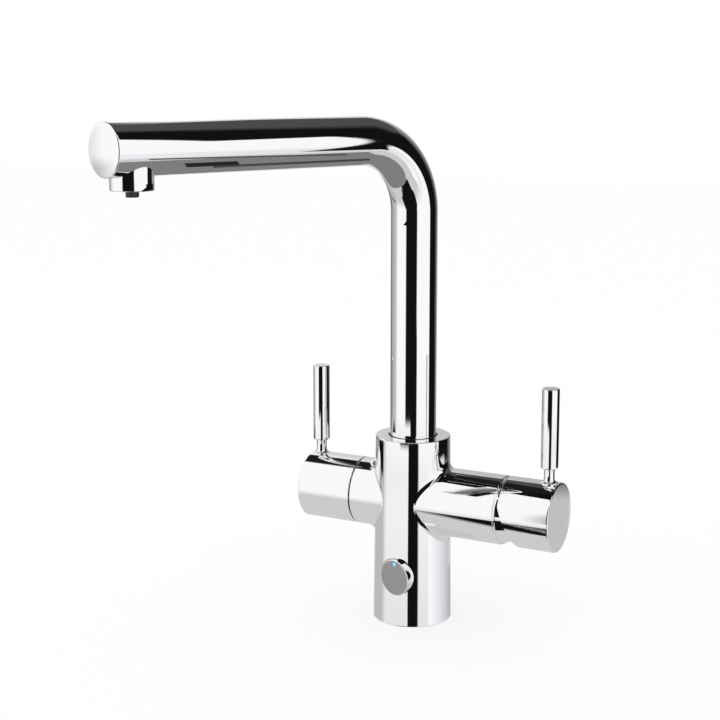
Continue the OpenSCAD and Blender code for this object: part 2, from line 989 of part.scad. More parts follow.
module filter_fixed_disc() {
    color([0.95, 0.94, 0.9])
    on_arm(-1)
        difference() {
            rod(valve_fixed_x, valve_moving_x, valve_disc_r);
            ports(valve_ports, valve_fixed_x - over, valve_moving_x + over, valve_port_r);
        }
}

// A quarter turn lays its hollow across both ports of the fixed disc
module filter_moving_disc() {
    color([0.9, 0.88, 0.83])
    on_arm(-1)
        difference() {
            rod(valve_moving_x, valve_moving_x + valve_disc_t, valve_moving_r);
            rotate([0, 0, 90 + atan2(valve_port_side, valve_port_up)])
                translate([-valve_moving_r + edge, -valve_port_r, valve_moving_x - over])
                    cube([2 * (valve_moving_r - edge), 2 * valve_port_r, over + valve_disc_t / 2]);
        }
}

module filter_valve_housing() {
    cavity_end = valve_flange_x + valve_flange_t + ease;
    color([0.82, 0.66, 0.36])
    on_arm(-1)
        difference() {
            union() {
                rod(valve_x, valve_hex_x, valve_r);
                translate([0, 0, valve_hex_x])
                    cylinder(h = valve_hex_t, r = valve_hex_r, $fn = 6);
                rod(valve_hex_x, valve_end, valve_neck_r);
            }
            rod(valve_x - over, cavity_end, valve_disc_r + ease);
            rod(valve_x, valve_end + over, valve_spindle_r + fit);
        }
}

module filter_spindle() {
    color([0.82, 0.66, 0.36])
    on_arm(-1)
        difference() {
            union() {
                rod(valve_flange_x, valve_flange_x + valve_flange_t, valve_moving_r);
                rod(valve_flange_x, filter_web_x + filter_spindle_in, valve_spindle_r);
            }
            translate([0, 0, valve_x + valve_ring_x - valve_depth])
                ring(-valve_ring_section * 3 / 2, valve_ring_section * 3 / 2,
                     valve_spindle_r + over, valve_spindle_r - 2 * valve_ring_section);
            ring(valve_end + fit, valve_end + clip_t + 2 * fit + ease,
                 valve_spindle_r + over, valve_spindle_r - clip_deep);
        }
}

module filter_spindle_o_ring() {
    color([0.1, 0.1, 0.11])
    on_arm(-1)
        translate([0, 0, valve_x + valve_ring_x - valve_depth])
            o_ring(valve_spindle_r - valve_ring_section, valve_ring_section);
}

// Spring clip, open on one side
module filter_spindle_clip() {
    color([0.5, 0.51, 0.53])
    on_arm(-1)
        difference() {
            ring(valve_end + 2 * fit, valve_end + 2 * fit + clip_t, clip_r,
                 valve_spindle_r - clip_deep + fit);
            translate([0, -valve_spindle_r / 2, valve_end - over])
                cube([clip_r + over, valve_spindle_r, clip_t + 3 * over]);
        }
}

module filter_hub() {
    color([0.88, 0.89, 0.91])
    on_arm(-1)
        difference() {
            hub_form(filter_hub_x, filter_hub_end);
            rod(filter_hub_x - over, filter_web_x, arm_r - filter_hub_wall);
            rod(filter_hub_x, filter_web_x + filter_spindle_in + ease, valve_spindle_r + fit);
            lever_bores(1, filter_lever_x, filter_web_x + filter_spindle_in / 2);
        }
}

module filter_lever_neck() {
    color([0.82, 0.83, 0.85])
    translate([-filter_lever_x, 0, arm_z]) lever_neck();
}

module filter_lever_grip() {
    color([0.88, 0.89, 0.91])
    translate([-filter_lever_x, 0, arm_z]) lever_grip();
}

module filter_grub_screw() {
    color([0.4, 0.41, 0.43])
    translate([-filter_web_x - filter_spindle_in / 2, 0, arm_z])
        rotate([-90, 0, 0])
            translate([0, 0, valve_spindle_r + fit + grub_l])
                grub(grub_r, grub_l);
}

// Space in front of the button's slanted face, moved out by a distance
module beyond_face(out) {
    span = 4 * button_d;
    translate([0, 0, face_y])
        rotate([0, -button_slant, 0])
            translate([-span / 2, -span / 2, out])
                cube([span, span, span]);
}

module button_form(r, back, out) {
    difference() {
        rod(back, face_y + button_d, r);
        beyond_face(out);
    }
}

module button_cap() {
    color([0.88, 0.89, 0.91])
    on_button()
        difference() {
            button_form(button_r, cap_back, 0);
            rod(cap_back - over, cap_floor, button_r - cap_wall);
            difference() {
                rod(cap_floor, face_y + button_d, button_r - face_in);
                button_form(button_r + over, cap_back - over, -face_t);
            }
            translate([0, light_up, 0])
                rod(cap_back, face_y + button_d, light_d / 2 + fit);
        }
}

module button_face_plate() {
    color([0.58, 0.58, 0.58])
    on_button()
        difference() {
            button_form(button_r - face_in - fit, cap_floor, 0);
            button_form(button_r + over, cap_floor - over, -face_t);
            translate([0, light_up, 0])
                rod(cap_back, face_y + button_d, light_d / 2 + fit);
        }
}

module button_light_guide() {
    color([0.35, 0.72, 0.9])
    on_button()
        difference() {
            translate([0, light_up, 0])
                rod(cap_floor - over, face_y + button_d, light_d / 2);
            beyond_face(0);
        }
}

module button_plunger() {
    color([0.3, 0.3, 0.32])
    on_button()
        rod(plunger_back + button_travel, cap_floor, plunger_r);
}

module switch_module() {
    color([0.15, 0.15, 0.16])
    on_button()
        difference() {
            rod(switch_back, switch_front, switch_r);
            rod(plunger_back - ease, switch_front + over, switch_hole_r);
        }
}

module switch_seal_ring() {
    color([0.1, 0.1, 0.11])
    on_button()
        ring(switch_back, switch_back + 2 * switch_ring_section, button_bore_r - ease, switch_r + ease);
}

body_casting();
base_seal_ring();
spout_stop_screw();
spout_glide_washer();
spout_glide_bush();
mixer_base_seal();
mixer_cartridge_base();
mixer_fixed_disc();
mixer_cartridge_housing();
mixer_retaining_nut();
mixer_dome_cover();
filter_valve_seal();
filter_fixed_disc();
filter_valve_housing();
switch_module();
switch_seal_ring();
spout_tube();
spout_end_cap();
spout_spigot();
spout_o_rings();
nozzle_collar();
flow_straightener();
nozzle_insert();
hot_water_tube();
hot_tube_o_ring();
mixer_turret();
mixer_pivot_pin();
mixer_turret_o_ring();
mixer_moving_disc();
mixer_disc_carrier();
mixer_spindle();
mixer_hub();
mixer_lever_neck();
mixer_lever_grip();
mixer_grub_screw();
filter_spindle();
filter_spindle_o_ring();
filter_moving_disc();
filter_spindle_clip();
filter_hub();
filter_lever_neck();
filter_lever_grip();
filter_grub_screw();
button_cap();
button_face_plate();
button_light_guide();
button_plunger();
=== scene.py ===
import json
import math
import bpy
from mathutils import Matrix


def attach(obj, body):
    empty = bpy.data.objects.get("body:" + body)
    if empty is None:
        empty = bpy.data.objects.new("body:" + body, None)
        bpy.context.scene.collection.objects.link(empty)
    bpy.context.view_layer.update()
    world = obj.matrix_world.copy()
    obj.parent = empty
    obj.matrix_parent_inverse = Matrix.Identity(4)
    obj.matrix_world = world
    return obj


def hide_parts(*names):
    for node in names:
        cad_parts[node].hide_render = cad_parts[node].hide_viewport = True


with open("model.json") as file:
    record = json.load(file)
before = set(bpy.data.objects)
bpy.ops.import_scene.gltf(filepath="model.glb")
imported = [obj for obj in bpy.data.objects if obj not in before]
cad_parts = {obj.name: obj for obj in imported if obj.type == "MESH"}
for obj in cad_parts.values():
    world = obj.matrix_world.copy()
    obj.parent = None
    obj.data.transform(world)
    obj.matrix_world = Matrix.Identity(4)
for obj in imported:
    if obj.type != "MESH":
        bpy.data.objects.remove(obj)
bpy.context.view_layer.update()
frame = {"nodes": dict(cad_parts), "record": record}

from types import SimpleNamespace

import bpy
from bpy.props import FloatProperty, FloatVectorProperty, PointerProperty
from mathutils import Matrix, Vector

bl_info = {
    "name": "Boiling Water Tap",
    "version": (1, 0, 0),
    "blender": (4, 5, 0),
    "location": "View3D > Sidebar > Tap",
    "description": "Dresses the packed tap: polished chrome castings, spout, levers and lit button",
    "category": "Object",
}

MM = 0.001
SLOT_OF = {part["node"]: part["material_slot"] for part in frame["record"]["subparts"]}


def length(name, default, description):
    return FloatProperty(name=name, description=description, default=default * MM, min=0,
                         unit="LENGTH", precision=5)


def slant(name, default, description):
    return FloatProperty(name=name, description=description, default=math.radians(default),
                         subtype="ANGLE")


def colour(name, default, description):
    return FloatVectorProperty(name=name, description=description, default=default, size=3,
                               min=0, max=1, subtype="COLOR")


class TapSizes(bpy.types.PropertyGroup):
    """Lengths and angles of the visible pieces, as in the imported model"""
    base_r: length("Base radius", 27.5, "Radius of the body at the worktop")
    top_r: length("Top radius", 26, "Radius of the body at its top")
    body_h: length("Body height", 130.5, "Height of the body")
    arm_r: length("Arm radius", 23.5, "Radius of both arms and both hubs")
    arm_z: length("Arm height", 85.5, "Height of the arms' axis")
    mixer_arm: length("Mixer arm", 69.5, "End of the mixer arm from the body's axis")
    filter_arm: length("Filter arm", 38.2, "End of the filter arm from the body's axis")
    blend_r: length("Arm blend", 5, "Radius of the blend between the body and the arms")
    tube_r: length("Tube radius", 16, "Outside radius of the spout tube")
    tube_wall: length("Tube wall", 1.5, "Wall of the spout tube")
    spout_z: length("Spout height", 335, "Height of the spout's centreline")
    spout_reach: length("Spout reach", 245, "End of the spout from the body's axis")
    bend_r: length("Bend radius", 49, "Bend radius of the spout's centreline")
    spout_turn: slant("Spout turn", 20.2, "Angle of the spout from straight ahead towards -X")
    nozzle_r: length("Nozzle radius", 12.9, "Radius of the collar under the spout")
    nozzle_back: length("Nozzle place", 18.5, "Nozzle axis back from the end of the spout")
    nozzle_drop: length("Nozzle drop", 23.5, "Bottom of the collar below the spout's centreline")
    jet_r: length("Jet radius", 3.9, "Radius of the inner nozzle")
    mixer_hub_in: length("Mixer hub start", 72, "Inner face of the mixer hub from the body's axis")
    mixer_hub_out: length("Mixer hub end", 108.2,
                          "Outer face of the mixer hub from the body's axis")
    filter_hub_in: length("Filter hub start", 39,
                          "Inner face of the filter hub from the body's axis")
    filter_hub_out: length("Filter hub end", 79.5,
                           "Outer face of the filter hub from the body's axis")
    mixer_lever: length("Mixer lever place", 100.5, "Mixer lever axis from the body's axis")
    filter_lever: length("Filter lever place", 72.7, "Filter lever axis from the body's axis")
    grip_r: length("Grip radius", 5.9, "Radius of a lever's grip")
    grip_l: length("Grip length", 54.5, "Length of a lever's grip")
    neck_r: length("Neck radius", 3.6, "Radius of a lever's neck")
    neck_l: length("Neck length", 9.5, "Length of a lever's neck between hub and grip")
    flare_r: length("Neck flare", 2.4, "Radius of the flare where a neck stands on its hub")
    button_r: length("Button radius", 12.6, "Radius of the push button")
    button_z: length("Button height", 35.3, "Height of the button's axis")
    face_y: length("Button face", 29.29, "Middle of the button's face from the body's axis")
    light_r: length("Light radius", 1.3, "Radius of the status light")
    light_up: length("Light place", 9.6, "Status light above the button's axis")
    button_slant: slant("Button slant", 18.5, "Turn of the button's slanted face towards -X")


class TapColours(bpy.types.PropertyGroup):
    """Colours of the finishes and of the studio floor"""
    chrome: colour("Chrome", (0.90, 0.905, 0.915), "Polished chrome")
    plate: colour("Face plate", (0.27, 0.27, 0.265), "Satin grey plate of the button")
    light: colour("Status light", (0.05, 0.33, 0.9), "Lit status light")
    brass: colour("Brass", (0.72, 0.53, 0.25), "Turned brass")
    ceramic: colour("Ceramic", (0.86, 0.83, 0.76), "Lapped ceramic discs")
    rubber: colour("Rubber", (0.018, 0.018, 0.018), "Moulded seals")
    steel: colour("Steel", (0.56, 0.57, 0.59), "Bright steel screws and tube")
    white_plastic: colour("White plastic", (0.78, 0.78, 0.75), "Moulded inner parts")
    black_plastic: colour("Black plastic", (0.022, 0.022, 0.024),
                          "Moulded cartridge parts and nozzle")
    floor: colour("Floor", (0.96, 0.96, 0.96), "Studio floor")


ANGLES = ("spout_turn", "button_slant")


def in_mm():
    """All sizes of the panel, lengths in millimetres and angles in radians"""
    group = bpy.context.scene.tap_sizes
    return SimpleNamespace(**{name: getattr(group, name) / (1 if name in ANGLES else MM)
                              for name in TapSizes.__annotations__})


# Modelling helpers. Pieces are modelled in millimetres and placed in metres when they are dressed


def clear_selection():
    if bpy.context.object and bpy.context.object.mode != "OBJECT":
        bpy.ops.object.mode_set(mode="OBJECT")
    bpy.ops.object.select_all(action="DESELECT")


def take(piece):
    """Makes the piece the only selected and active object"""
    clear_selection()
    piece.select_set(True)
    bpy.context.view_layer.objects.active = piece


def add(kind, name, **size):
    clear_selection()
    getattr(bpy.ops.mesh, "primitive_" + kind + "_add")(**size)
    piece = bpy.context.object
    piece.name = piece.data.name = name
    return piece


def rounded(corners, arc_steps=6):
    """Profile through (radius, height, rounding) corners, with steps that hold each rounding"""
    steps = []
    for i, (radius, height, rounding) in enumerate(corners):
        here = Vector((radius, height))
        if not rounding:
            steps.append(here)
            continue
        back = (Vector(corners[i - 1][:2]) - here).normalized()
        ahead = (Vector(corners[(i + 1) % len(corners)][:2]) - here).normalized()
        half = back.angle(ahead) / 2
        centre = here + (back + ahead).normalized() * (rounding / math.sin(half))
        reach = rounding / math.tan(half)
        hold = reach + rounding / 2
        first, last = here + back * reach - centre, here + ahead * reach - centre
        steps.append(here + back * hold)
        for k in range(arc_steps + 1):
            steps.append(centre + (first * (arc_steps - k) + last * k).normalized() * rounding)
        steps.append(here + ahead * hold)
    return steps


MERGED = 0.001  # millimetres under which two points of a mesh become one


def turned(name, steps, around=192, ring=False):
    """A disc, or a bare ring, drawn out along Z through the profile's (radius, height) steps"""
    radius, height = steps[0]
    piece = add("circle", name, vertices=around, radius=radius,
                fill_type="NOTHING" if ring else "NGON")
    bpy.ops.object.mode_set(mode="EDIT")
    bpy.ops.mesh.select_all(action="SELECT")
    bpy.ops.transform.translate(value=(0, 0, height))
    for wide, high in steps[1:]:
        bpy.ops.mesh.extrude_region_move(TRANSFORM_OT_translate={"value": (0, 0, high - height)})
        widening = wide / radius
        bpy.ops.transform.resize(value=(widening, widening, 1), center_override=(0, 0, high))
        radius, height = wide, high
    bpy.ops.mesh.select_all(action="SELECT")
    if ring:
        bpy.ops.mesh.remove_doubles(threshold=MERGED)
    bpy.ops.mesh.normals_make_consistent(inside=False)
    bpy.ops.object.mode_set(mode="OBJECT")
    return piece


def rod(name, start, end, radius, around=96, place=None):
    """A plain cylinder along Z, or along Z of its place"""
    piece = turned(name, [(radius, start), (radius, end)], around)
    if place:
        piece.data.transform(place)
    return piece


def apply(piece, kind, **settings):
    """Adds a modifier with its settings and applies it"""
    take(piece)
    modifier = piece.modifiers.new(kind.lower(), kind)
    for name, value in settings.items():
        setattr(modifier, name, value)
    bpy.ops.object.modifier_apply(modifier=modifier.name)


def carve(piece, tool, operation="DIFFERENCE"):
    """Cuts a tool out of a piece, or adds it to the piece, and uses it up"""
    apply(piece, "BOOLEAN", operation=operation, solver="EXACT", object=tool)
    bpy.data.objects.remove(tool)


def join(piece, *others):
    take(piece)
    for other in others:
        other.select_set(True)
    bpy.ops.object.join()


def slice_off(piece, point, outward):
    """Cuts away what lies beyond a plane and closes the cut"""
    take(piece)
    bpy.ops.object.mode_set(mode="EDIT")
    bpy.ops.mesh.select_all(action="SELECT")
    bpy.ops.mesh.bisect(plane_co=point, plane_no=outward, use_fill=True, clear_outer=True)
    bpy.ops.object.mode_set(mode="OBJECT")


def break_edges(piece, width, segments=3):
    """Bevels every edge sharper than 30 degrees"""
    apply(piece, "BEVEL", limit_method="ANGLE", angle_limit=math.radians(30), width=width,
          segments=segments)


def move(x=0, y=0, z=0):
    return Matrix.Translation((x, y, z))


def turn(degrees, axis):
    return Matrix.Rotation(math.radians(degrees), 4, axis)


def on_arm(mm, side):
    """Local Z outwards along the mixer arm, side 1, or the filter arm, side -1"""
    return move(z=mm.arm_z) @ turn(90 * side, "Y")


def on_button(mm):
    """Local Z out of the front of the body along the button's axis"""
    return move(z=mm.button_z) @ turn(90, "X")


def on_spout(mm):
    """Local X along the spout as it stands"""
    return Matrix.Rotation(-math.pi / 2 - mm.spout_turn, 4, "Z")


# Materials


class Maths:
    """A number socket, so that shader maths reads as arithmetic"""

    def __init__(self, finish, socket):
        self.finish, self.socket = finish, socket

    def using(self, operation, *values):
        return self.finish.node("Math", *values, operation=operation)

    def __add__(self, other):
        return self.using("ADD", self, other)

    def __sub__(self, other):
        return self.using("SUBTRACT", self, other)

    def __rsub__(self, other):
        return self.using("SUBTRACT", other, self)

    def __mul__(self, other):
        return self.using("MULTIPLY", self, other)

    def span(self, low, high):
        """A number that goes from low to high as this one goes from 0 to 1"""
        return self * (high - low) + low


class Finish:
    """A node tree that is being wired"""

    def __init__(self, tree):
        self.tree = tree
        tree.nodes.clear()

    def node(self, kind, *values, operation=None, out=0, **named):
        """One node, with values or links for its sockets by place or by name, and one output"""
        made = self.tree.nodes.new("ShaderNode" + kind)
        if operation:
            made.operation = operation
        sockets = list(zip(made.inputs, values))
        sockets += [(made.inputs[name.replace("_", " ")], value) for name, value in named.items()]
        for socket, value in sockets:
            if isinstance(value, Maths):
                self.tree.links.new(value.socket, socket)
            elif socket.type == "RGBA":
                socket.default_value = (*value, 1)
            else:
                socket.default_value = value
        return Maths(self, made.outputs[out]) if made.outputs else None

    def noise(self, scale, detail, stretch=(1, 1, 1)):
        """Cloudy noise between 0 and 1 on the object's own coordinates, scale in waves per metre"""
        spot = self.node("Mapping", self.node("TexCoord", out="Object"), Scale=stretch)
        return self.node("TexNoise", Vector=spot, Scale=scale, Detail=detail)

    def between(self, mask, low, high):
        """A colour that goes from low to high as the mask goes from 0 to 1"""
        blend = self.node("ValToRGB", mask)
        for stop, tone in zip(blend.socket.node.color_ramp.elements, (low, high)):
            stop.color = (*tone, 1)
        return blend

    def ramp(self, value, start, end):
        """0 at the start and 1 at the end, and level beyond them"""
        return self.node("MapRange", Value=value, From_Min=start, From_Max=end)

    def bump(self, height, depth):
        """Fine relief, its depth in metres"""
        return self.node("Bump", Strength=1, Distance=depth, Height=height)

    def surface(self, shader):
        self.node("OutputMaterial", shader)

    def principled(self, **named):
        self.surface(self.node("BsdfPrincipled", **named))


def start_finish(name):
    material = bpy.data.materials.new(name)
    material.use_nodes = True
    return material, Finish(material.node_tree)


def once(wire_up):
    """Makes a material the first time it is asked for, and gives the same one after that"""
    name = wire_up.__name__

    def given():
        if name not in bpy.data.materials:
            wire_up(start_finish(name)[1])
        return bpy.data.materials[name]
    return given


def shades(name, amount):
    """A darker and a lighter shade of a colour of the panel"""
    base = getattr(bpy.context.scene.tap_colours, name)
    return [tuple(min(1, c * k) for c in base) for k in (1 - amount, 1 + amount)]


@once
def polished_chrome(wire):
    """Mirror chrome: slight waviness of the buffed casting and faint wiping marks in the gloss"""
    wiped = wire.noise(90, detail=4, stretch=(1, 1, 0.35))
    buffed = wire.noise(28, detail=1)
    tint = wire.between(wire.noise(12, detail=1), *shades("chrome", 0.012))
    wire.principled(Base_Color=tint, Metallic=1, Roughness=wiped.span(0.012, 0.042),
                    Normal=wire.bump(buffed, depth=0.000012))


@once
def satin_grey(wire):
    """Grey plate of the button: fine satin grain"""
    grain = wire.noise(5200, detail=2)
    cloud = wire.noise(120, detail=2)
    wire.principled(Base_Color=wire.between(cloud, *shades("plate", 0.04)),
                    Roughness=grain.span(0.42, 0.54), Normal=wire.bump(grain, depth=0.00001))


@once
def lit_blue(wire):
    """Light guide lit from behind: a glow that drifts between a bright and a deeper blue"""
    deep, bright, unlit = shades("light", 0.3)[0], (0.25, 0.62, 1.0), (0.05, 0.2, 0.5)
    wire.principled(Base_Color=unlit, Roughness=0.25, Emission_Strength=1.6,
                    Emission_Color=wire.between(wire.noise(900, detail=1), deep, bright))


@once
def turned_brass(wire):
    """Brass from the lathe: fine tool marks and a warm, uneven tarnish"""
    marks = wire.noise(2600, detail=3, stretch=(1, 0.12, 0.12))
    tarnish = wire.noise(140, detail=4)
    wire.principled(Base_Color=wire.between(tarnish, *shades("brass", 0.14)), Metallic=1,
                    Roughness=marks.span(0.2, 0.4), Normal=wire.bump(marks, depth=0.000015))


@once
def lapped_ceramic(wire):
    """Ceramic discs: an even lapped face with a fine grain"""
    grain = wire.noise(900, detail=5)
    wire.principled(Base_Color=wire.between(grain, *shades("ceramic", 0.05)),
                    Roughness=grain.span(0.12, 0.27))


@once
def moulded_rubber(wire):
    """Seals: dull black rubber with a cloudy bloom"""
    bloom = wire.noise(420, detail=5)
    wire.principled(Base_Color=wire.between(bloom, *shades("rubber", 0.35)),
                    Roughness=bloom.span(0.55, 0.75),
                    Normal=wire.bump(wire.noise(3000, detail=3), depth=0.00003))


@once
def bright_steel(wire):
    """Screws and tube: bright steel with drawing marks"""
    marks = wire.noise(1900, detail=3, stretch=(0.15, 1, 1))
    tint = wire.between(wire.noise(200, detail=3), *shades("steel", 0.07))
    wire.principled(Base_Color=tint, Metallic=1, Roughness=marks.span(0.18, 0.38),
                    Normal=wire.bump(marks, depth=0.00001))


def moulded(wire, plastic):
    grain = wire.noise(2400, detail=3)
    tint = wire.between(wire.noise(160, detail=3), *shades(plastic, 0.08))
    wire.principled(Base_Color=tint, Roughness=grain.span(0.32, 0.52),
                    Normal=wire.bump(grain, depth=0.00002))


@once
def white_moulding(wire):
    moulded(wire, "white_plastic")


@once
def black_moulding(wire):
    moulded(wire, "black_plastic")


FINISHES = {
    "chromed_brass": polished_chrome, "chromed_steel": polished_chrome,
    "chromed_plastic": polished_chrome, "grey_plate": satin_grey, "blue_light": lit_blue,
    "raw_brass": turned_brass, "ceramic_disc": lapped_ceramic, "black_rubber": moulded_rubber,
    "steel": bright_steel, "white_plastic": white_moulding, "black_plastic": black_moulding,
}


SMOOTH, CASTING_SMOOTH = 35, 25  # degrees under which an edge is shaded smooth


def dress(piece, body, *nodes, place=None, smooth=SMOOTH):
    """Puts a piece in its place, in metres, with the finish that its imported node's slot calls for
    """
    if place:
        piece.data.transform(place)
    piece.data.transform(Matrix.Scale(MM, 4))
    take(piece)
    bpy.ops.object.shade_smooth_by_angle(angle=math.radians(smooth))
    slot = SLOT_OF[nodes[0]]
    piece.data.materials.clear()
    piece.data.materials.append(FINISHES[slot]())
    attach(piece, body)
    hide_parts(*nodes)


# Pieces. Sizes that the panel doesn't offer stand above the piece that they belong to. They are in
# millimetres, and angles in degrees

FIT = 0.06  # gap round what sits in a bore
CLEAR, CLEAR_ABOVE = 1, 2  # how far a cutter reaches past a surface below it and above it
INNER_EDGE, OUTER_EDGE = 0.4, 0.8  # rounding of rims towards the body and away from it
INNER_FLAT, OUTER_FLAT, ARM_FLAT = 3, 4, 2  # flat ring beside the rounding of an end
STUD_R, STUD_L = 2.5, 9  # stud at each end of a lever's neck, and radius of the grub screws

BLEND_SUNK = 0.006  # how deep the blend's edges lie in both surfaces
BLEND_ROOT = 1.7  # reach of the blend's hidden back edge, in radii of the blend


def arm_blend(name, mm, side, along=128, across=10):
    """The ring that blends an arm into the body, as a ball rolled round the corner leaves it"""
    ball = mm.blend_r
    around_arm = mm.arm_r + ball - BLEND_SUNK
    verts, faces = [], []
    for i in range(along):
        angle = 2 * math.pi * i / along
        y, high = around_arm * math.cos(angle), mm.arm_z + around_arm * math.sin(angle)
        body_r = mm.base_r - (mm.base_r - mm.top_r) * high / mm.body_h
        around_body = body_r + ball - BLEND_SUNK
        x = math.sqrt(around_body ** 2 - y ** 2)
        centre = Vector((x, y, high))
        to_body = Vector((-x, -y, 0)).normalized()
        to_arm = Vector((0, -math.cos(angle), -math.sin(angle)))
        spread = to_body.angle(to_arm)
        for k in range(across + 1):
            share = k / across
            ray = to_body * math.sin((1 - share) * spread) + to_arm * math.sin(share * spread)
            verts.append(centre + ray.normalized() * ball)
        verts.append(centre + (to_body + to_arm).normalized() * ball * BLEND_ROOT)
    row = across + 2
    for i in range(along):
        for k in range(row):
            a, b = i * row + k, i * row + (k + 1) % row
            c, d = ((i + 1) % along) * row + (k + 1) % row, ((i + 1) % along) * row + k
            faces.append((a, b, c, d))
    mesh = bpy.data.meshes.new(name)
    mesh.from_pydata([(side * v.x, v.y, v.z) for v in verts], [], faces)
    ring = bpy.data.objects.new(name, mesh)
    bpy.context.scene.collection.objects.link(ring)
    take(ring)
    bpy.ops.object.mode_set(mode="EDIT")
    bpy.ops.mesh.select_all(action="SELECT")
    bpy.ops.mesh.normals_make_consistent(inside=False)
    bpy.ops.object.mode_set(mode="OBJECT")
    return ring


MOUTH_R, MOUTH_DEPTH = 17.3, 8.5  # round the spout's foot
SOCKET_R, SOCKET_DEPTH, SOCKET_CUT = 15, 30.5, 8  # for the spigot, cut from inside the mouth
POCKET_R, POCKET_START = 17.7, 40  # for the mixer cartridge
NUT_SEAT_R, NUT_SEAT_START = 19.5, 62
VALVE_R, VALVE_START = 10.4, 16
PAST_MIXER_ARM, PAST_FILTER_ARM = 75, 42  # where the cutters of both arms' pockets end
BUTTON_GAP, BUTTON_BORE_START, BUTTON_BORE_END = 0.3, 11, 40
FIXING_R, FIXING_DEPTH = 4, 16
CABLE_R, CABLE_PLACE, CABLE_END = 2.5, -17.3, 6  # its end is given below the button's axis
SEAL_INNER_R, SEAL_OUTER_R, SEAL_DEPTH = 23.1, 25.9, 2.5
TAIL_R, TAIL_DEPTH, TAIL_PLACE, TAIL_ANGLES = 4.5, 12, 13, (90, -30, 210)
WATERWAY_R, WATERWAY_TOP = 3, 60


class TAP_OT_body(bpy.types.Operator):
    """Chromed casting with its two arms, their blends and the openings in it"""
    bl_idname = "tap.body"
    bl_label = "Body"

    def execute(self, context):
        mm = in_mm()
        body = turned("tap_body_shell", rounded([
            (mm.base_r - INNER_FLAT, 0, 0), (mm.base_r, 0, INNER_EDGE),
            (mm.top_r, mm.body_h, OUTER_EDGE), (mm.top_r - OUTER_FLAT, mm.body_h, 0)]), around=288)
        for side, reach in ((1, mm.mixer_arm), (-1, mm.filter_arm)):
            arm = turned("arm", rounded([
                (mm.arm_r - ARM_FLAT, 0, 0), (mm.arm_r, 0, 0), (mm.arm_r, reach, INNER_EDGE),
                (mm.arm_r - ARM_FLAT, reach, 0)]), around=288)
            arm.data.transform(on_arm(mm, side))
            carve(body, arm, "UNION")

        top = mm.body_h
        bores = [
            rod("mouth", top - MOUTH_DEPTH, top + CLEAR_ABOVE, MOUTH_R, around=160),
            rod("socket", top - SOCKET_DEPTH, top - SOCKET_CUT, SOCKET_R, around=128),
            rod("mixer_pocket", POCKET_START, PAST_MIXER_ARM, POCKET_R, 128, on_arm(mm, 1)),
            rod("mixer_nut_seat", NUT_SEAT_START, PAST_MIXER_ARM, NUT_SEAT_R, 128, on_arm(mm, 1)),
            rod("valve_pocket", VALVE_START, PAST_FILTER_ARM, VALVE_R, 96, on_arm(mm, -1)),
            rod("button_bore", BUTTON_BORE_START, BUTTON_BORE_END, mm.button_r + BUTTON_GAP, 160,
                on_button(mm)),
            rod("fixing_hole", -CLEAR, FIXING_DEPTH, FIXING_R, around=64),
            rod("cable_hole", -CLEAR, mm.button_z - CABLE_END, CABLE_R, 48, move(y=CABLE_PLACE)),
            turned("seal_groove", [
                (SEAL_INNER_R, -CLEAR), (SEAL_OUTER_R, -CLEAR), (SEAL_OUTER_R, SEAL_DEPTH),
                (SEAL_INNER_R, SEAL_DEPTH), (SEAL_INNER_R, -CLEAR)], around=128, ring=True),
        ]
        for angle in TAIL_ANGLES:
            inlet = turned("tail_inlet", [(TAIL_R, -CLEAR), (TAIL_R, TAIL_DEPTH),
                                          (WATERWAY_R, TAIL_DEPTH), (WATERWAY_R, WATERWAY_TOP)],
                           around=64)
            inlet.data.transform(turn(angle, "Z") @ move(x=TAIL_PLACE))
            bores.append(inlet)
        for bore in bores:
            carve(body, bore)
        join(body, arm_blend("mixer_blend", mm, 1), arm_blend("filter_blend", mm, -1))
        dress(body, "tap_body", "body_casting", smooth=CASTING_SMOOTH)
        return {"FINISHED"}


FOOT_DEPTH = 5.88  # spout tube's end below the body's top
STRAIGHT = 1  # straight strip that holds each end of the bend
BEND_STEPS = 96
CAP_L, PLUG_L, PLUG_BORE_R = 3, 6, 11.5
CROWN_R, CROWN_H, CROWN_RINGS = 163, 0.7, (0.8, 2.5, 5, 7.5, 10, 12, 13.5)
CAP_EDGE, CAP_EDGE_DROP = 0.9, 0.05
TAP_HOLE_R = 10.6
COLLAR_WALL, COLLAR_SEAM, COLLAR_TOP = 1.9, 2, 4  # its top is given below the spout's centreline
COLLAR_BORE_EDGE, COLLAR_EDGE = 0.3, 0.5
SPANNER_TURN, SPANNER_DEPTH, SPANNER_H = 99.5, 1, 4.2
SPANNER_BLOCK = (20, 30)  # depth and breadth of the block that cuts a spanner flat
TUBE_SEAT_END = 30  # each end of the cutter that seats the collar on the tube
JET_BORE_R, JET_DROP, JET_BORE_EDGE, JET_EDGE = 2.6, 3.9, 0.3, 0.6
JET_SEAT, JET_FLANGE_R, JET_FLANGE_H, JET_FLOOR = 5.8, 6.2, 5, 1
HOT_TUBE_R = 4


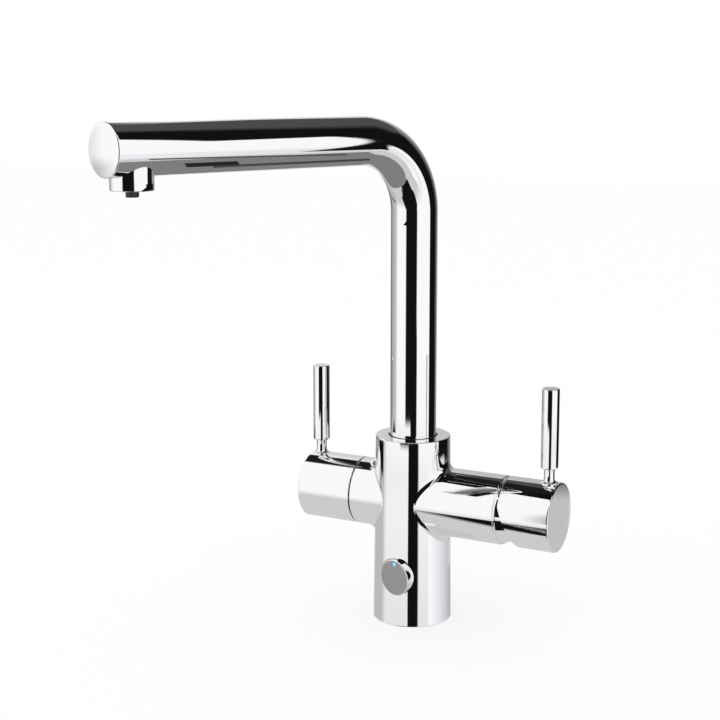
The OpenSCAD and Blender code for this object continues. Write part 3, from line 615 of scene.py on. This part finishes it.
class TAP_OT_spout(bpy.types.Operator):
    """Bent tube with its end cap, nozzle collar and inner nozzle"""
    bl_idname = "tap.spout"
    bl_label = "Spout"

    def execute(self, context):
        mm = in_mm()
        nozzle = move(x=mm.spout_reach - mm.nozzle_back)
        bottom = mm.spout_z - mm.nozzle_drop
        self.tube(mm, nozzle, bottom)
        self.end_cap(mm)
        self.collar(mm, nozzle, bottom)
        self.inner_nozzle(mm, nozzle, bottom)
        return {"FINISHED"}

    def tube(self, mm, nozzle, bottom):
        foot, bend_z = mm.body_h - FOOT_DEPTH, mm.spout_z - mm.bend_r
        tube = add("circle", "spout_tube_shell", vertices=192, radius=mm.tube_r)
        bpy.ops.object.mode_set(mode="EDIT")
        bpy.ops.mesh.select_all(action="SELECT")
        bpy.ops.transform.translate(value=(0, 0, foot))
        for rise in (bend_z - foot - STRAIGHT, STRAIGHT):
            bpy.ops.mesh.extrude_region_move(TRANSFORM_OT_translate={"value": (0, 0, rise)})
        bpy.ops.mesh.spin(steps=BEND_STEPS, angle=-math.pi / 2, center=(mm.bend_r, 0, bend_z),
                          axis=(0, 1, 0))
        for stretch in (STRAIGHT, mm.spout_reach - CAP_L - mm.bend_r - STRAIGHT):
            bpy.ops.mesh.extrude_region_move(TRANSFORM_OT_translate={"value": (stretch, 0, 0)})
        bpy.ops.mesh.select_all(action="SELECT")
        bpy.ops.mesh.remove_doubles(threshold=MERGED)
        bpy.ops.mesh.normals_make_consistent(inside=False)
        bpy.ops.object.mode_set(mode="OBJECT")
        apply(tube, "SOLIDIFY", thickness=mm.tube_wall, offset=-1, use_even_offset=True)
        carve(tube, rod("tap_hole", bottom, mm.spout_z, TAP_HOLE_R, 128, nozzle))
        dress(tube, "spout", "spout_tube", place=on_spout(mm))

    def end_cap(self, mm):
        at_end = on_spout(mm) @ move(mm.spout_reach, 0, mm.spout_z) @ turn(90, "Y")
        crown = [(r, CROWN_H - CROWN_R + math.sqrt(CROWN_R ** 2 - r ** 2), 0) for r in CROWN_RINGS]
        plug_r, plug_end = mm.tube_r - mm.tube_wall - FIT, -CAP_L - PLUG_L
        cap = turned("end_cap_shell", rounded(crown + [
            (mm.tube_r, -CAP_EDGE_DROP, CAP_EDGE), (mm.tube_r, -CAP_L, 0), (plug_r, -CAP_L, 0),
            (plug_r, plug_end, 0), (PLUG_BORE_R, plug_end, 0), (PLUG_BORE_R, -CAP_L, 0)]))
        dress(cap, "spout", "spout_end_cap", place=at_end)

    def collar(self, mm, nozzle, bottom):
        inner, top = mm.nozzle_r - COLLAR_WALL, mm.spout_z - COLLAR_TOP
        collar = turned("nozzle_collar_shell", rounded([
            (inner, bottom + COLLAR_SEAM, 0), (inner, bottom, COLLAR_BORE_EDGE),
            (mm.nozzle_r, bottom, COLLAR_EDGE), (mm.nozzle_r, top, 0), (inner, top, 0),
            (inner, bottom + COLLAR_SEAM, 0)]), ring=True)
        carve(collar, rod("tube_seat", -TUBE_SEAT_END, TUBE_SEAT_END, mm.tube_r + FIT, 192,
                          move(z=mm.spout_z) @ turn(90, "Y")))
        deep, broad = SPANNER_BLOCK
        for side in (0, 180):
            flat = add("cube", "spanner_flat", size=1)
            flat.data.transform(turn(SPANNER_TURN + side, "Z")
                                @ move(mm.nozzle_r - SPANNER_DEPTH + deep / 2, 0, bottom)
                                @ Matrix.Diagonal((deep, broad, 2 * SPANNER_H, 1)))
            carve(collar, flat)
        dress(collar, "spout", "nozzle_collar", place=on_spout(mm) @ nozzle)

    def inner_nozzle(self, mm, nozzle, bottom):
        tip, seat = bottom - JET_DROP, bottom + JET_SEAT
        tube_seat_r = HOT_TUBE_R + FIT
        jet = turned("inner_nozzle_shell", rounded([
            (JET_BORE_R, bottom, 0), (JET_BORE_R, tip, JET_BORE_EDGE), (mm.jet_r, tip, JET_EDGE),
            (mm.jet_r, seat, 0), (JET_FLANGE_R, seat, 0), (JET_FLANGE_R, seat + JET_FLANGE_H, 0),
            (tube_seat_r, seat + JET_FLANGE_H, 0), (tube_seat_r, seat + JET_FLOOR, 0),
            (JET_BORE_R, seat + JET_FLOOR, 0), (JET_BORE_R, bottom, 0)]), around=96, ring=True)
        dress(jet, "spout", "nozzle_insert", place=on_spout(mm) @ nozzle)


SEAT_DEPTH = 9.2  # of the neck's stud in its hub


def seated_hub(mm, name, start, end, lever, up):
    """A hub with rounded edges, and the cutter of its lever's seat"""
    hub = turned(name, rounded([
        (mm.arm_r - INNER_FLAT, start, 0), (mm.arm_r, start, INNER_EDGE),
        (mm.arm_r, end, OUTER_EDGE), (mm.arm_r - OUTER_FLAT, end, 0)]), around=288)
    seat = rod("lever_seat", mm.arm_r - SEAT_DEPTH, mm.arm_r + CLEAR_ABOVE, STUD_R + FIT, 64,
               move(z=lever) @ turn(90 * up, "Y"))
    return hub, seat


def grub_bore(mm, along):
    """The cutter of a grub screw's hole, out through the back of a hub"""
    return rod("grub_bore", 0, mm.arm_r + CLEAR_ABOVE, STUD_R + FIT, 64,
               move(z=along) @ turn(-90, "X"))


DOME_INSET, DOME_WALL, DOME_HOLE_R, DOME_STEPS = 1.5, 1, 15, 24
DOME_RIM_INSET = 0.4
DOME_GAP = 0.4  # between the dome and the hub's hollow
PIVOT_BACK = 1  # lever's pivot inside the end of the arm
RELIEF_SLOPE, RELIEF_START, RELIEF_EDGE = 21, -9, 0.3
MIXER_SPINDLE_R, MIXER_SPINDLE_L = 4.6, 27.7
MIXER_GRUB = 13  # from the hub's outer face


class TAP_OT_mixer(bpy.types.Operator):
    """Domed cover of the cartridge, and the hub with its hollow and slanted relief"""
    bl_idname = "tap.mixer"
    bl_label = "Mixer dome and hub"

    def execute(self, context):
        mm = in_mm()
        rim, pivot, outer = mm.mixer_arm, mm.mixer_arm - PIVOT_BACK, mm.arm_r - DOME_INSET
        arcs = []
        for radius, end in ((outer, rim + DOME_WALL), (outer - DOME_WALL, rim)):
            first, last = math.acos(DOME_HOLE_R / radius), math.asin((end - pivot) / radius)
            angles = [first + (last - first) * k / DOME_STEPS for k in range(DOME_STEPS + 1)]
            arcs.append([(radius * math.cos(a), pivot + radius * math.sin(a)) for a in angles])
        rim_r = mm.arm_r - DOME_RIM_INSET
        dome = turned("mixer_dome_shell", [(rim_r, rim), (rim_r, rim + DOME_WALL)]
                      + arcs[0][::-1] + arcs[1] + [(rim_r, rim)], ring=True)
        dress(dome, "tap_body", "mixer_dome_cover", place=on_arm(mm, 1))

        hub, seat = seated_hub(mm, "mixer_hub_shell", mm.mixer_hub_in, mm.mixer_hub_out,
                               mm.mixer_lever, up=-1)
        relief = (math.tan(math.radians(RELIEF_SLOPE)), 0, -1)
        slice_off(hub, (RELIEF_START, 0, mm.mixer_hub_in), relief)
        break_edges(hub, RELIEF_EDGE, segments=1)
        hollow = add("uv_sphere", "hollow", segments=160, ring_count=96, radius=outer + DOME_GAP)
        hollow.data.transform(move(z=pivot))
        carve(hub, hollow)
        carve(hub, rod("spindle_bore", pivot, pivot + MIXER_SPINDLE_L, MIXER_SPINDLE_R + FIT))
        carve(hub, seat)
        carve(hub, grub_bore(mm, mm.mixer_hub_out - MIXER_GRUB))
        dress(hub, "mixer_handle", "mixer_hub", place=on_arm(mm, 1), smooth=CASTING_SMOOTH)
        return {"FINISHED"}


FILTER_WEB = 16  # from the hub's outer face to the floor of its hollow
FILTER_WALL = 3
FILTER_SPINDLE_R, FILTER_SPINDLE_L = 4, 8.2
FILTER_GRUB = 4  # past the hollow's floor


class TAP_OT_filter_hub(bpy.types.Operator):
    """Hub of the filter valve, hollow over the valve's neck"""
    bl_idname = "tap.filter_hub"
    bl_label = "Filter hub"

    def execute(self, context):
        mm = in_mm()
        hub, seat = seated_hub(mm, "filter_hub_shell", mm.filter_hub_in, mm.filter_hub_out,
                               mm.filter_lever, up=1)
        web = mm.filter_hub_out - FILTER_WEB
        carve(hub, rod("hollow", mm.filter_hub_in - CLEAR, web, mm.arm_r - FILTER_WALL, around=160))
        carve(hub, rod("spindle_bore", web - CLEAR, web + FILTER_SPINDLE_L, FILTER_SPINDLE_R + FIT,
                       around=64))
        carve(hub, seat)
        carve(hub, grub_bore(mm, web + FILTER_GRUB))
        dress(hub, "filter_handle", "filter_hub", place=on_arm(mm, -1), smooth=CASTING_SMOOTH)
        return {"FINISHED"}


FLARE_LIFT, FLARE_STEPS = 0.15, 10
NECK_SUNK = 1.5  # neck's lower end before the hub's surface cuts it
CORE_R = 1  # radius at which the neck's flat ends start
STUD_EDGE, STUD_ROOT = 0.3, 1  # rounding of the upper stud, and overlap of the lower one
HUB_CUT_END = 15  # each end of the cutter that seats a neck on its hub
GRIP_BORE_L, GRIP_FLAT = 4, 3
GRIP_LOW_EDGE, GRIP_TOP_EDGE = 1.1, 0.7


class TAP_OT_levers(bpy.types.Operator):
    """Necks and grips of both levers"""
    bl_idname = "tap.levers"
    bl_label = "Levers"

    def execute(self, context):
        mm = in_mm()
        for name, at in (("mixer", mm.mixer_lever), ("filter", -mm.filter_lever)):
            upright = move(at, 0, mm.arm_z)
            dress(self.neck(mm, name), name + "_handle", name + "_lever_neck", place=upright)
            dress(self.grip(mm, name), name + "_handle", name + "_lever_grip", place=upright)
        return {"FINISHED"}

    def neck(self, mm, name):
        top, low, flare_low = mm.arm_r + mm.neck_l, mm.arm_r - NECK_SUNK, mm.arm_r + FLARE_LIFT
        rim = mm.neck_r + mm.flare_r
        flare = [(rim - mm.flare_r * math.sin(a), flare_low + mm.flare_r * (1 - math.cos(a)), 0)
                 for a in (math.pi / 2 * k / FLARE_STEPS for k in range(FLARE_STEPS + 1))]
        neck = turned(name + "_neck_shell", rounded([(CORE_R, low, 0), (rim, low, 0)] + flare + [
            (mm.neck_r, top, 0), (STUD_R, top, 0), (STUD_R, top + STUD_L, STUD_EDGE),
            (CORE_R, top + STUD_L, 0)]), around=96)
        carve(neck, rod("hub_surface", -HUB_CUT_END, HUB_CUT_END, mm.arm_r + FIT / 2, 288,
                        turn(90, "Y")))
        carve(neck, rod("hub_stud", mm.arm_r - STUD_L, mm.arm_r + STUD_ROOT, STUD_R), "UNION")
        return neck

    def grip(self, mm, name):
        bore_r, foot = STUD_R + FIT, mm.arm_r + mm.neck_l
        top = foot + mm.grip_l
        return turned(name + "_grip_shell", rounded([
            (bore_r, foot + GRIP_BORE_L, 0), (bore_r, foot, 0), (mm.grip_r, foot, GRIP_LOW_EDGE),
            (mm.grip_r, top, GRIP_TOP_EDGE), (mm.grip_r - GRIP_FLAT, top, 0)], arc_steps=8),
            around=128)


BUTTON_BACK, BUTTON_FLOOR = 18.6, 22  # from the body's axis: cap's back, and its hollow's floor
BUTTON_WALL, BUTTON_RIM = 1.4, 0.7
PLATE_T = 1.2
PLATE_START, GUIDE_BACK = 20, 21
HOLLOW_START, LIGHT_BORE_START = 17, 18
PAST_FACE = 14  # how far the uncut pieces reach past the middle of the face


class TAP_OT_button(bpy.types.Operator):
    """Push button: chromed cap, satin face plate and lit light guide, cut to one slanted face"""
    bl_idname = "tap.button"
    bl_label = "Button"

    def execute(self, context):
        mm = in_mm()
        outward = Vector((math.sin(-mm.button_slant), 0, math.cos(mm.button_slant)))
        face = Vector((0, 0, mm.face_y))
        under_plate = face - outward * PLATE_T
        far = mm.face_y + PAST_FACE
        at_light = move(y=mm.light_up)

        def light_bore():
            return rod("light_bore", LIGHT_BORE_START, far, mm.light_r + FIT, 48, at_light)

        cap = rod("button_cap_shell", BUTTON_BACK, far, mm.button_r, around=160)
        slice_off(cap, face, outward)
        break_edges(cap, width=0.35, segments=4)
        recess = rod("recess", BUTTON_FLOOR, far, mm.button_r - BUTTON_RIM, around=160)
        slice_off(recess, under_plate, -outward)
        carve(cap, recess)
        carve(cap, rod("back_hollow", HOLLOW_START, BUTTON_FLOOR, mm.button_r - BUTTON_WALL,
                       around=160))
        carve(cap, light_bore())
        dress(cap, "button", "button_cap", place=on_button(mm))

        plate_r = mm.button_r - BUTTON_RIM - FIT
        plate = rod("face_plate_shell", PLATE_START, far, plate_r, around=160)
        slice_off(plate, face, outward)
        slice_off(plate, under_plate, -outward)
        break_edges(plate, width=0.12)
        carve(plate, light_bore())
        dress(plate, "button", "button_face_plate", place=on_button(mm))

        guide = rod("light_guide_shell", GUIDE_BACK, far, mm.light_r, 48, at_light)
        slice_off(guide, face, outward)
        break_edges(guide, width=0.1)
        dress(guide, "button", "button_light_guide", place=on_button(mm))
        return {"FINISHED"}


class TAP_OT_inner_parts(bpy.types.Operator):
    """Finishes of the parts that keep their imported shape"""
    bl_idname = "tap.inner_parts"
    bl_label = "Inner parts"

    def execute(self, context):
        for name, node in frame["nodes"].items():
            node.data.materials.clear()
            node.data.materials.append(FINISHES[SLOT_OF[name]]())
        return {"FINISHED"}


# Studio, in metres and degrees

CAMERA_SIDE = 27.4  # bearing of the camera's side of the tap, from -Y towards +X
DARK = 0.006
# Name, first and last angle from the camera's side, lower and upper edge, shade, shade at the last
# angle, softness of the two ends and of the lower and upper edge, and distance from the tap
CARDS = (
    ("camera_side_card", -44, 15, -0.25, 1.9, DARK, None, (4, 4.7, 0.016, 0.012), 1.6),
    ("low_camera_card", -16.2, 16.4, -0.828, -0.052, DARK, None, (1.5, 3.8, 0.036, 0.048), 1.645),
    ("crook_card", -46, 12, -2.8, -0.6, DARK, None, (2, 2, 0.02, 0.02), 1.6),
    ("arm_line_card", -54.4, -41.4, -1.712, -0.594, DARK, None, (2.9, 3.8, 0.012, 0.042), 1.6),
    ("right_back_card", 80.2, 130, -0.05, 0.654, DARK, None, (1.1, 6.9, 0.006, 0.018), 0.675),
    ("right_rear_card", 123.4, 194.8, -0.156, 1.206, 0.004, 0.81, (3.3, 7.3, 0.03, 0.066), 0.9),
    ("low_right_card", 107.6, 146, -0.29, -0.03, DARK, None, (2.4, 1.5, 0.042, 0.048), 1.45),
    ("low_left_card", 230.6, 257.6, -0.305, -0.217, DARK, None, (1.9, 2.4, 0.018, 0.021), 1.525),
    ("low_right_wall", 45.6, 158.8, -0.78, -0.27, 1.084, 0.39, (2.3, 1.5, 0.027, 0.067), 1.7),
    ("low_back_wall", 131.6, 197.6, -0.537, -0.03, 0.732, 0.93, (8, 3.3, 0.009, 0.11), 1.7),
    ("low_left_wall", 196.8, 271.4, -0.87, 0.228, 0.524, 0.55, (11.4, 15.7, 0.012, 0.09), 1.7),
    ("backdrop_card", 192, 262.8, -0.39, 0.42, 0.304, 0.56, (4, 28.2, 0.004, 0.012), 1.65),
    ("backdrop_dark", 201, 222.2, -0.28, 0.9, 0.184, None, (2.4, 2.6, 0.021, 0.012), 1.645),
    ("top_right_card", 71.4, 126.6, 0.689, 3.0, DARK, None, (1.5, 1.5, 0.039, 0.012), 0.95),
    ("top_back_card", 101.6, 188, 0.781, 3.2, 0.075, None, (22.2, 4.7, 0.045, 0.012), 0.845),
    ("top_left_card", 182.2, 247.2, 0.953, 3.11, 0.012, None, (4.2, 6.9, 0.024, 0.012), 0.95),
)
# Name, left, right, front and back along the bearing, height, shade, bearing, and whether only the
# upper side is seen
LEVEL_CARDS = (
    ("ceiling_card", -1.7, 2.0, -2, 3.405, 3.99, DARK, CAMERA_SIDE, False),
    ("spout_shelf", -0.024, 0.039, -0.236, -0.0222, 0.3, 0.228, -20.2, True),
    ("crook_shelf", -0.022, 0.022, -0.09, -0.042, 0.275, DARK, 5.4, True),
    ("shelf_line", 0.0045, 0.012, -0.16, -0.03, 0.3005, 0.065, -19.7, True),
    ("shelf_streak", 0.0115, 0.024, -0.18, -0.14, 0.3005, 0.02, -20.2, True),
    ("shelf_edge", 0.02, 0.028, -0.2, -0.05, 0.301, 0.1, -13.4, True),
)
WRAP_BEFORE = 0.1  # radians before a card's first end at which its bearings wrap round
COOL = 0.03  # share of blue that a white card has over its red and green


def cut_to_angles(sheet, first, last):
    """Keeps a round sheet's faces between two angles from -Y towards +X, and one degree more"""
    bpy.ops.object.mode_set(mode="EDIT")
    bpy.ops.mesh.select_all(action="DESELECT")
    bpy.ops.object.mode_set(mode="OBJECT")
    for face in sheet.data.polygons:
        angle = math.degrees(math.atan2(face.center.x, -face.center.y))
        face.select = not (angle - first + 1) % 360 <= last - first + 2
    bpy.ops.object.mode_set(mode="EDIT")
    bpy.ops.mesh.delete(type="FACE")
    bpy.ops.object.mode_set(mode="OBJECT")


def card(name, start, end, low, high, shade, fade, soft, distance):
    """An upright card on a circle round the tap, as a row of CARDS lays it out"""
    sheet = add("cylinder", name, vertices=360, radius=distance, depth=high - low,
                end_fill_type="NOTHING")
    sheet.data.transform(move(z=(low + high) / 2))
    first, last = start + CAMERA_SIDE, end + CAMERA_SIDE
    cut_to_angles(sheet, first, last)
    material, wire = start_finish(name)
    spot = wire.node("TexCoord", out="Object")
    x, y, z = (wire.node("SeparateXYZ", spot, out=axis) for axis in "XYZ")
    begin, stop = math.radians(first), math.radians(last)
    seam = begin - WRAP_BEFORE
    along = x.using("WRAP", x.using("ARCTAN2", x, y * -1), seam + 2 * math.pi, seam)
    soft_begin, soft_stop, soft_low, soft_high = soft
    cover = (wire.ramp(along, begin, begin + math.radians(soft_begin))
             * wire.ramp(along, stop, stop - math.radians(soft_stop))
             * wire.ramp(z, low, low + soft_low) * wire.ramp(z, high, high - soft_high))
    tone = grey(shade)
    if fade:
        tone = wire.between(wire.ramp(along, begin, stop), tone, grey(fade))
    gloss_only(sheet, material, wire, tone, cover)


def level_card(name, left, right, front, back, height, shade, bearing, from_above):
    """A level card over or round the tap, as a row of LEVEL_CARDS lays it out"""
    sheet = add("plane", name, size=1)
    sheet.data.transform(turn(bearing, "Z")
                         @ move((left + right) / 2, (front + back) / 2, height)
                         @ Matrix.Diagonal((right - left, back - front, 1, 1)))
    material, wire = start_finish(name)
    cover = 1 - wire.node("NewGeometry", out="Backfacing") if from_above else 1
    gloss_only(sheet, material, wire, grey(shade), cover)


def grey(shade):
    """A studio card's grey, a little cooler where it is light"""
    return (shade, shade, shade * (1 + COOL * min(1, shade)))


def gloss_only(sheet, material, wire, tone, cover):
    """Lights a card that only the chrome sees, as far as it covers what is behind it"""
    wire.surface(wire.node("MixShader", cover, wire.node("BsdfTransparent"),
                           wire.node("Emission", Color=tone)))
    sheet.data.materials.append(material)
    sheet.visible_camera = sheet.visible_diffuse = sheet.visible_shadow = False


WHITE = (1, 1, 1)
FLOOR_SIZE, FLOOR_DROP, FLOOR_GLOW = 9, 0.0002, 0.75
SKY_IN_CHROME = 1.04
SKY_FALLS = ((0.08, -0.23, -0.247), (0.306, -0.285, -0.45))  # loss, and ray heights it lies between
LAMP_PLACE, LAMP_AIM, LAMP_SIZE, LAMP_POWER = (-1.1, -1.3, 1.7), (0, 0, 0.15), 1.2, 3
CAMERA_PLACE, CAMERA_TILT, CAMERA_TURN = (0.41085, -0.87370, 0.37143), 81.37, 27.38
SENSOR, LENS, PICTURE_SHIFT = 36, 70.99, -60 / 720


class TAP_OT_stage(bpy.types.Operator):
    """Studio: pale floor, white surroundings, cards that the chrome mirrors, lamp and camera"""
    bl_idname = "tap.stage"
    bl_label = "Studio"

    def execute(self, context):
        for row in CARDS:
            card(*row)
        for row in LEVEL_CARDS:
            level_card(*row)
        self.floor(context.scene.tap_colours)
        self.surroundings(context.scene)
        self.lamp()
        self.camera(context.scene)
        return {"FINISHED"}

    def floor(self, tones):
        clear_selection()
        bpy.ops.mesh.primitive_plane_add(size=FLOOR_SIZE, location=(0, 0, -FLOOR_DROP))
        floor = bpy.context.object
        floor.name = "studio_floor"
        bpy.ops.object.transform_apply(location=True)
        material, wire = start_finish("studio_floor")
        seen = wire.node("LightPath", out="Is Camera Ray")
        paper = wire.node("BsdfDiffuse", Color=tuple(tones.floor))
        glow = wire.node("Emission", Color=WHITE)
        wire.surface(wire.node("MixShader", seen * FLOOR_GLOW, paper, glow))
        floor.data.materials.append(material)
        floor.visible_glossy = False

    def surroundings(self, scene):
        world = bpy.data.worlds.new("white_studio")
        scene.world = world
        world.use_nodes = True
        sky = Finish(world.node_tree)
        shown = sky.node("LightPath", out="Is Camera Ray")
        mirrored = sky.node("LightPath", out="Is Glossy Ray")
        height = sky.node("SeparateXYZ", sky.node("TexCoord", out="Generated"), out="Z")
        gloss = SKY_IN_CHROME
        for loss, start, end in SKY_FALLS:
            gloss = gloss - sky.ramp(height, start, end) * loss
        level = shown + (1 - shown) * (mirrored * gloss + (1 - mirrored))
        sky.node("OutputWorld", sky.node("Background", Color=WHITE, Strength=level))

    def lamp(self):
        clear_selection()
        bpy.ops.object.light_add(type="AREA", location=LAMP_PLACE)
        lamp = bpy.context.object
        lamp.name = "soft_lamp"
        lamp.data.size = LAMP_SIZE
        lamp.data.energy = LAMP_POWER
        aim = Vector(LAMP_AIM) - lamp.location
        lamp.rotation_euler = aim.to_track_quat("-Z", "Y").to_euler()
        lamp.visible_glossy = False
        lamp.visible_camera = False

    def camera(self, scene):
        clear_selection()
        bpy.ops.object.camera_add(location=CAMERA_PLACE, rotation=(
            math.radians(CAMERA_TILT), 0, math.radians(CAMERA_TURN)))
        camera = bpy.context.object
        camera.name = "photo_camera"
        camera.data.sensor_width = SENSOR
        camera.data.lens = LENS
        camera.data.shift_y = PICTURE_SHIFT
        scene.camera = camera
        scene.view_settings.view_transform = "Standard"


class TAP_PT_panel(bpy.types.Panel):
    """Sizes, colours and pieces of the tap"""
    bl_idname = "TAP_PT_panel"
    bl_label = "Boiling Water Tap"
    bl_space_type = "VIEW_3D"
    bl_region_type = "UI"
    bl_category = "Tap"

    def draw(self, context):
        for group in (context.scene.tap_sizes, context.scene.tap_colours):
            box = self.layout.box()
            for name in type(group).__annotations__:
                box.prop(group, name)
        for step in STEPS:
            self.layout.operator(step.bl_idname)


STEPS = (TAP_OT_inner_parts, TAP_OT_body, TAP_OT_spout, TAP_OT_mixer, TAP_OT_filter_hub,
         TAP_OT_levers, TAP_OT_button, TAP_OT_stage)
CLASSES = (TapSizes, TapColours, *STEPS, TAP_PT_panel)


def register():
    for cls in CLASSES:
        bpy.utils.register_class(cls)
    bpy.types.Scene.tap_sizes = PointerProperty(type=TapSizes)
    bpy.types.Scene.tap_colours = PointerProperty(type=TapColours)


def unregister():
    del bpy.types.Scene.tap_colours
    del bpy.types.Scene.tap_sizes
    for cls in reversed(CLASSES):
        bpy.utils.unregister_class(cls)


def main():
    register()
    for step in STEPS:
        group, name = step.bl_idname.split(".")
        getattr(getattr(bpy.ops, group), name)()


if __name__ == "__main__":
    main()
